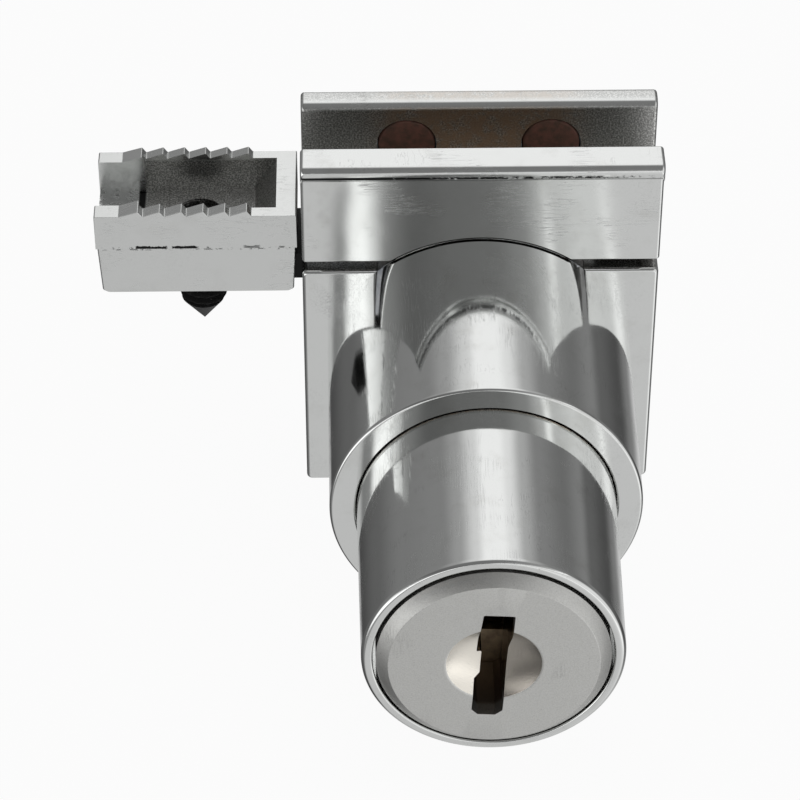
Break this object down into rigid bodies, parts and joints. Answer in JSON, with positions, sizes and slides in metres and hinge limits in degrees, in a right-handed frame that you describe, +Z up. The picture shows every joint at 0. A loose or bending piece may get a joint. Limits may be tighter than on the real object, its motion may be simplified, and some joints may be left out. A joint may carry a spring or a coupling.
{
  "type": "glass cabinet door lock",
  "caption": "Push-in plunger lock that clamps a cabinet door's glass edge, with a keyed plug in the plunger and a toothed claw that slides sideways onto the next pane.",
  "frame": {"origin": "middle of the bracket's channel floor, where the lower edge of the door's glass seats", "axes": "+Z up out of the channel, +X to the right of a person facing the barrel, barrel's mouth towards -Y"},
  "size_m": [0.0472, 0.0498, 0.0349],
  "materials": {
    "bracket_chrome": "bright chrome plating over a zinc casting, fine rub marks",
    "barrel_chrome": "bright chrome plating over a zinc casting",
    "plunger_chrome": "bright chrome plating with fine lengthwise rub marks",
    "plug_satin": "satin nickel plating",
    "claw_chrome": "thin chrome plating over a rough casting with a parting line",
    "wafer_brass": "stamped brass",
    "zinc_steel": "zinc-plated steel",
    "spring_steel": "drawn spring wire",
    "black_steel": "black oxide",
    "pad_rubber": "red-brown rubber"
  },
  "bodies": {
    "frame": {"channel_bracket": "bracket_chrome", "barrel_body": "barrel_chrome", "assembly_screws": "zinc_steel", "travel_stop_pin": "zinc_steel", "return_spring": "spring_steel"},
    "plunger": {"plunger_shell": "plunger_chrome", "slide_driver": "zinc_steel", "driver_screws": "zinc_steel"},
    "plug": {"key_plug": "plug_satin", "locking_lug": "zinc_steel", "lug_screw": "zinc_steel", "plug_clip": "spring_steel", "wafer_springs": "spring_steel", "wafer_1": "wafer_brass", "wafer_2": "wafer_brass", "wafer_3": "wafer_brass", "wafer_4": "wafer_brass", "wafer_5": "wafer_brass", "wafer_6": "wafer_brass"},
    "bolt": {"bolt_bar": "zinc_steel", "claw": "claw_chrome", "claw_roll_pin": "spring_steel"},
    "cone_screw": {"cone_point_screw": "black_steel"},
    "clamp_left": {"clamp_screw_left": "black_steel", "clamp_pad_left": "pad_rubber"},
    "clamp_right": {"clamp_screw_right": "black_steel", "clamp_pad_right": "pad_rubber"}
  },
  "joints": [
    {"name": "plunger_push", "type": "slide", "parent": "frame", "child": "plunger", "axis": [0, 1, 0], "range_m": [0, 0.005], "stiffness_N_per_m": 300, "deforming": ["return_spring"]},
    {"name": "plug_turn", "type": "hinge", "parent": "plunger", "child": "plug", "pos_m": [0, -0.03, -0.013], "axis": [0, 1, 0], "range_deg": [0, 90]},
    {"name": "claw_slide", "type": "slide", "parent": "frame", "child": "bolt", "axis": [-1, 0, 0], "range_m": [0, 0.004]},
    {"name": "cone_screw_advance", "type": "slide", "parent": "bolt", "child": "cone_screw", "axis": [0, 0, 1], "range_m": [-0.0015, 0.00175]},
    {"name": "clamp_screw_left_advance", "type": "slide", "parent": "frame", "child": "clamp_left", "axis": [0, -1, 0], "range_m": [0, 0.0023]},
    {"name": "clamp_screw_right_advance", "type": "slide", "parent": "frame", "child": "clamp_right", "axis": [0, -1, 0], "range_m": [0, 0.0023]}
  ],
  "couplings": [
    {"joint": "claw_slide", "follows": "plunger_push", "ratio": 0.8}
  ]
}
